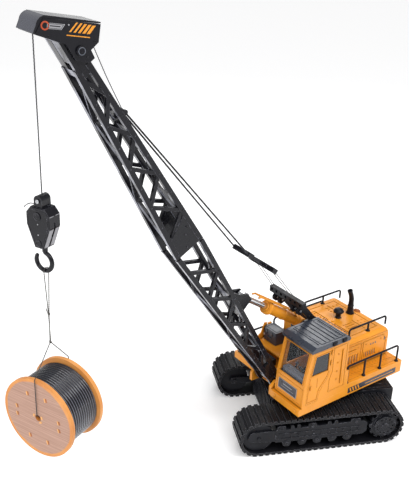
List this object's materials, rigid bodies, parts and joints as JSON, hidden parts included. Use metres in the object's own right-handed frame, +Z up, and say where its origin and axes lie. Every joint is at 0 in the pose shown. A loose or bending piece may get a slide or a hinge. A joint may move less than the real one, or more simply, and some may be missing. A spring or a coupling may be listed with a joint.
{
  "type": "toy crawler crane",
  "caption": "Toy crawler crane: slewing house with cab and hood on tracks, luffing lattice boom with ram and stay lines, winch rope, hook block and a hanging cable reel.",
  "frame": {"origin": "on the slew axis, at floor level under the tracks", "axes": "+X towards the boom, +Y towards the cab side, +Z up; the tracks stand turned 24 degrees clockwise under the house"},
  "size_m": [0.6092, 0.2749, 0.627],
  "materials": {
    "body_orange": "satin moulded orange plastic",
    "hood_orange": "satin moulded orange plastic with panel lines",
    "roof_grey": "glossy dark grey plastic",
    "boom_black": "glossy black plastic lattice",
    "trim_black": "satin black plastic",
    "chassis_black": "matte black plastic with moulded ribs",
    "track_rubber": "matte black rubber with cross bars",
    "head_black": "glossy black plastic with orange slanted bars",
    "cap_grey": "glossy dark grey plastic",
    "ram_chrome": "polished rod",
    "steel": "plain steel",
    "iron": "rough cast iron",
    "motor_steel": "zinc plated can",
    "window_glass": "smoked clear plastic",
    "reel_wood": "pale varnished wood grain",
    "cable_black": "glossy black cable turns",
    "cord_grey": "thin twisted dark cord",
    "cord_pale": "thin twisted grey string",
    "board_green": "coated circuit board",
    "cell_wrap": "wrapped cells"
  },
  "bodies": {
    "undercarriage": {"car_body": "chassis_black", "battery_cover": "chassis_black", "battery_pack": "cell_wrap", "drive_motors": "motor_steel", "slew_ring": "trim_black", "track_frame_left": "chassis_black", "track_frame_right": "chassis_black", "track_belt_left": "track_rubber", "track_belt_right": "track_rubber"},
    "switch": {"power_switch": "trim_black"},
    "sprocket_left": {"drive_sprocket_left": "chassis_black"},
    "sprocket_right": {"drive_sprocket_right": "chassis_black"},
    "idler_left": {"idler_wheel_left": "chassis_black"},
    "idler_right": {"idler_wheel_right": "chassis_black"},
    "house": {"turntable_base": "chassis_black", "house_deck": "body_orange", "counterweight": "iron", "circuit_board": "board_green", "engine_hood": "hood_orange", "cab_shell": "body_orange", "cab_roof": "roof_grey", "windscreen": "window_glass", "cab_seat": "trim_black", "cab_console": "roof_grey", "hood_rails": "trim_black", "walkway_rails": "trim_black", "exhaust_stack": "trim_black", "air_intake": "trim_black", "tool_box": "roof_grey", "side_platform": "trim_black", "gantry_frame": "boom_black", "foot_bracket": "body_orange", "boom_foot_pin": "steel", "ram_tower": "boom_black", "slew_motor": "motor_steel"},
    "pinion": {"slew_pinion": "steel"},
    "door": {"cab_door": "body_orange", "door_glass": "window_glass"},
    "boom": {"boom_lower": "boom_black", "boom_upper": "boom_black", "head_housing": "head_black", "head_cap": "cap_grey", "winch_motor": "motor_steel", "stay_line": "cord_grey"},
    "drum": {"winch_drum": "trim_black"},
    "top_sheave": {"head_sheave": "trim_black"},
    "barrel": {"ram_barrel": "body_orange", "guard_pipes": "body_orange"},
    "rod": {"ram_rod": "ram_chrome"},
    "bridle": {"bridle_wires": "cord_pale"},
    "pendant": {"equalizer": "boom_black", "pendants": "boom_black"},
    "rope": {"hoist_rope": "cord_grey"},
    "block": {"hook_block": "boom_black"},
    "pulley": {"block_sheave": "trim_black"},
    "hook": {"lifting_hook": "boom_black"},
    "sling": {"reel_sling": "cord_pale"},
    "reel": {"reel_flange_front": "reel_wood", "reel_flange_back": "reel_wood", "cable_winding": "cable_black"}
  },
  "joints": [
    {"name": "switch_slide", "type": "slide", "parent": "undercarriage", "child": "switch", "axis": [0.9135, -0.4067, 0], "range_m": [0, 0.006]},
    {"name": "house_slew", "type": "hinge", "parent": "undercarriage", "child": "house", "pos_m": [0, 0, 0.065], "axis": [0, 0, 1], "continuous": true},
    {"name": "pinion_spin", "type": "hinge", "parent": "house", "child": "pinion", "pos_m": [-0.0375, 0, 0.07], "axis": [0, 0, 1], "continuous": true},
    {"name": "cab_door_swing", "type": "hinge", "parent": "house", "child": "door", "pos_m": [0.0242, 0.0854, 0.13], "axis": [0, 0, 1], "range_deg": [0, 100]},
    {"name": "boom_luff", "type": "hinge", "parent": "house", "child": "boom", "pos_m": [0.064, 0, 0.086], "axis": [0, -1, 0], "range_deg": [-15, 8]},
    {"name": "drum_spin", "type": "hinge", "parent": "boom", "child": "drum", "pos_m": [0.3614, 0, 0.5904], "axis": [0, -1, 0], "range_deg": [-20, 1400]},
    {"name": "top_sheave_spin", "type": "hinge", "parent": "boom", "child": "top_sheave", "pos_m": [0.396, 0, 0.6132], "axis": [0, -1, 0], "range_deg": [-20, 1400]},
    {"name": "ram_pivot", "type": "hinge", "parent": "house", "child": "barrel", "pos_m": [0.008, 0, 0.163], "axis": [0, -1, 0], "range_deg": [-20, 12]},
    {"name": "ram_stroke", "type": "slide", "parent": "barrel", "child": "rod", "axis": [0.8366, 0, 0.5478], "range_m": [-0.02, 0.03]},
    {"name": "bridle_pivot", "type": "hinge", "parent": "house", "child": "bridle", "pos_m": [0.0377, 0, 0.2135], "axis": [0, -1, 0], "range_deg": [-22, 14]},
    {"name": "pendant_stroke", "type": "slide", "parent": "bridle", "child": "pendant", "axis": [0.658, 0, 0.753], "range_m": [-0.022, 0.036], "deforming": ["bridle_wires"]},
    {"name": "rope_plumb", "type": "hinge", "parent": "boom", "child": "rope", "pos_m": [0.402, 0, 0.613], "axis": [0, -1, 0], "range_deg": [-12, 20]},
    {"name": "hoist", "type": "slide", "parent": "rope", "child": "block", "axis": [0, 0, 1], "range_m": [0, 0.12], "deforming": ["hoist_rope"]},
    {"name": "pulley_spin", "type": "hinge", "parent": "block", "child": "pulley", "pos_m": [0.402, 0, 0.4183], "axis": [0.9135, 0.4067, 0], "continuous": true},
    {"name": "hook_swivel", "type": "hinge", "parent": "block", "child": "hook", "pos_m": [0.402, 0, 0.385], "axis": [0, 0, 1], "continuous": true},
    {"name": "sling_swing", "type": "hinge", "parent": "hook", "child": "sling", "pos_m": [0.402, 0, 0.351], "axis": [-0.4067, 0.9135, 0], "range_deg": [-25, 25]},
    {"name": "reel_spin", "type": "hinge", "parent": "sling", "child": "reel", "pos_m": [0.402, 0, 0.1712], "axis": [0.9135, 0.4067, 0], "continuous": true},
    {"name": "sprocket_left_spin", "type": "hinge", "parent": "undercarriage", "child": "sprocket_left", "pos_m": [-0.06616, 0.10882, 0.029], "axis": [0.4067, 0.9135, 0], "continuous": true},
    {"name": "idler_left_spin", "type": "hinge", "parent": "undercarriage", "child": "idler_left", "pos_m": [0.10869, 0.03097, 0.029], "axis": [0.4067, 0.9135, 0], "continuous": true},
    {"name": "sprocket_right_spin", "type": "hinge", "parent": "undercarriage", "child": "sprocket_right", "pos_m": [-0.12514, -0.02365, 0.029], "axis": [0.4067, 0.9135, 0], "continuous": true},
    {"name": "idler_right_spin", "type": "hinge", "parent": "undercarriage", "child": "idler_right", "pos_m": [0.04972, -0.1015, 0.029], "axis": [0.4067, 0.9135, 0], "continuous": true}
  ],
  "couplings": [
    {"joint": "pinion_spin", "follows": "house_slew", "ratio": 4},
    {"joint": "ram_pivot", "follows": "boom_luff", "ratio": 0.9},
    {"joint": "ram_stroke", "follows": "boom_luff", "m_per_rad": -0.0934},
    {"joint": "bridle_pivot", "follows": "boom_luff", "ratio": 1.15},
    {"joint": "pendant_stroke", "follows": "boom_luff", "m_per_rad": -0.1134},
    {"joint": "rope_plumb", "follows": "boom_luff", "ratio": -1},
    {"joint": "drum_spin", "follows": "hoist", "rad_per_m": 192},
    {"joint": "top_sheave_spin", "follows": "hoist", "rad_per_m": 166.7},
    {"joint": "idler_left_spin", "follows": "sprocket_left_spin", "ratio": 0.93},
    {"joint": "idler_right_spin", "follows": "sprocket_right_spin", "ratio": 0.93}
  ]
}
